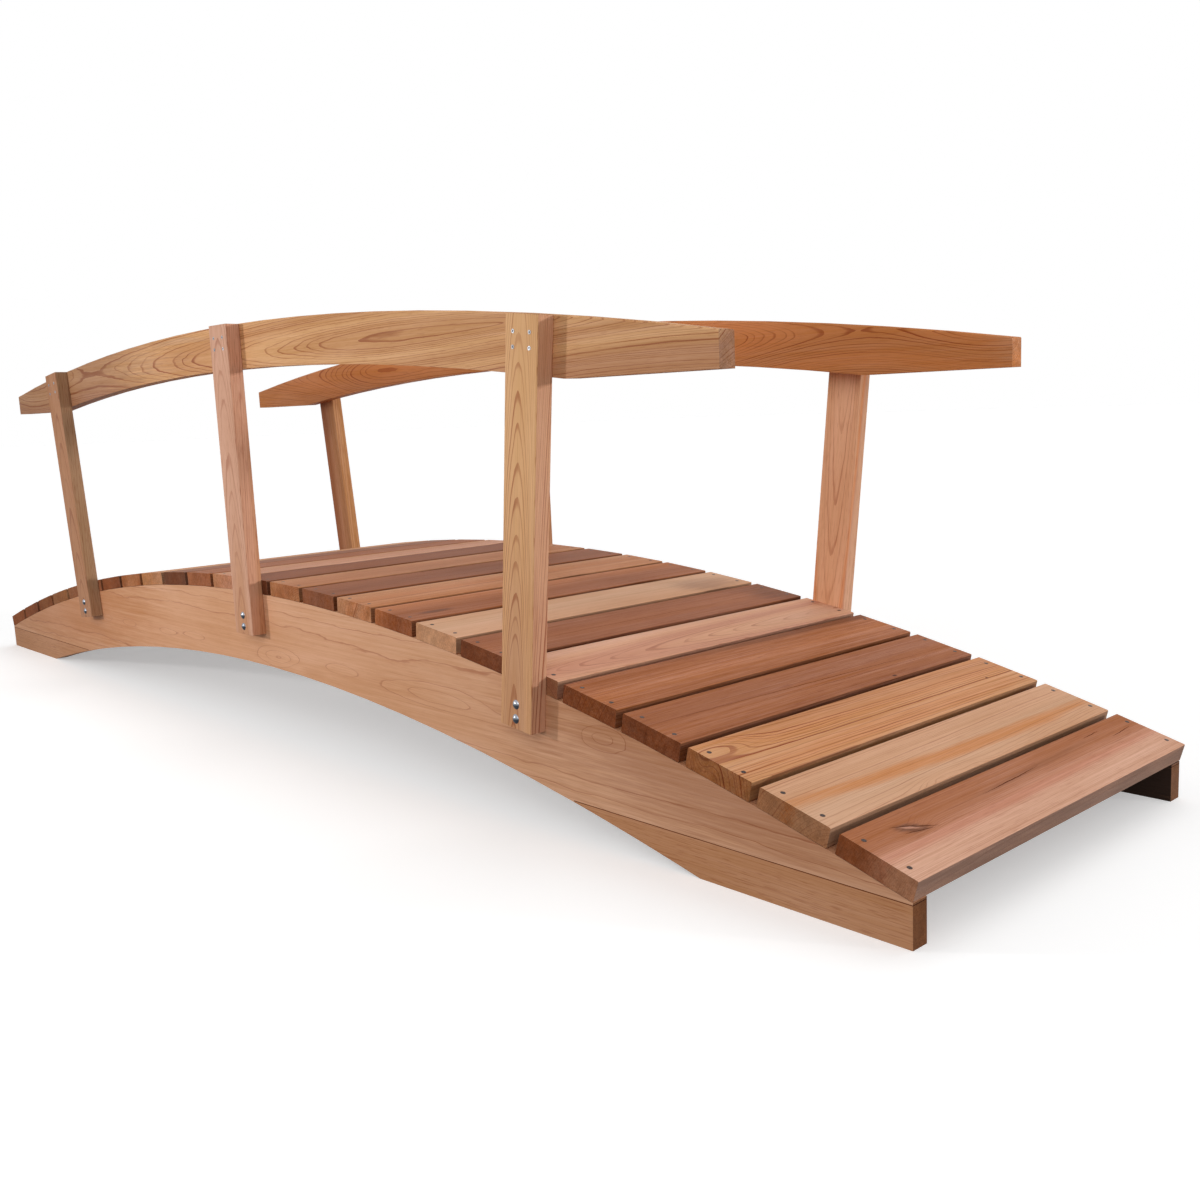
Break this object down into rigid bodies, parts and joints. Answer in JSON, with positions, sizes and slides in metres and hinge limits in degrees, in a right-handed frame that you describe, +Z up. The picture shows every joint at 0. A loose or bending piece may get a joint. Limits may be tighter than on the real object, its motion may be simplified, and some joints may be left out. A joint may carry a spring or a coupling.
{
  "type": "arched garden bridge",
  "caption": "Low arched wooden garden bridge with flat treads across two sawn side beams and an arched handrail on posts at each side, for crossing a small stream or dry bed",
  "frame": {"origin": "on the ground, under the middle of the deck", "axes": "+X along the bridge toward its right end, +Y across it toward the back beam, +Z up"},
  "size_m": [2.4496, 0.603, 0.633],
  "materials": {
    "cedar_beam": "planed, unfinished",
    "cedar_tread": "planed, unfinished",
    "cedar_post": "planed, unfinished",
    "cedar_handrail": "planed, unfinished",
    "fastener_steel": "zinc plated"
  },
  "bodies": {
    "root": {"front_beam": "cedar_beam", "front_foot_left": "cedar_beam", "front_foot_right": "cedar_beam", "back_beam": "cedar_beam", "back_foot_left": "cedar_beam", "back_foot_right": "cedar_beam", "tread_01": "cedar_tread", "tread_02": "cedar_tread", "tread_03": "cedar_tread", "tread_04": "cedar_tread", "tread_05": "cedar_tread", "tread_06": "cedar_tread", "tread_07": "cedar_tread", "tread_08": "cedar_tread", "tread_09": "cedar_tread", "tread_10": "cedar_tread", "tread_11": "cedar_tread", "tread_12": "cedar_tread", "tread_13": "cedar_tread", "tread_14": "cedar_tread", "tread_15": "cedar_tread", "tread_16": "cedar_tread", "tread_17": "cedar_tread", "tread_18": "cedar_tread", "tread_19": "cedar_tread", "tread_20": "cedar_tread", "tread_21": "cedar_tread", "tread_22": "cedar_tread", "tread_23": "cedar_tread", "tread_24": "cedar_tread", "tread_25": "cedar_tread", "front_post_left": "cedar_post", "front_post_middle": "cedar_post", "front_post_right": "cedar_post", "back_post_left": "cedar_post", "back_post_middle": "cedar_post", "back_post_right": "cedar_post", "front_handrail": "cedar_handrail", "back_handrail": "cedar_handrail"}
  },
  "joints": []
}
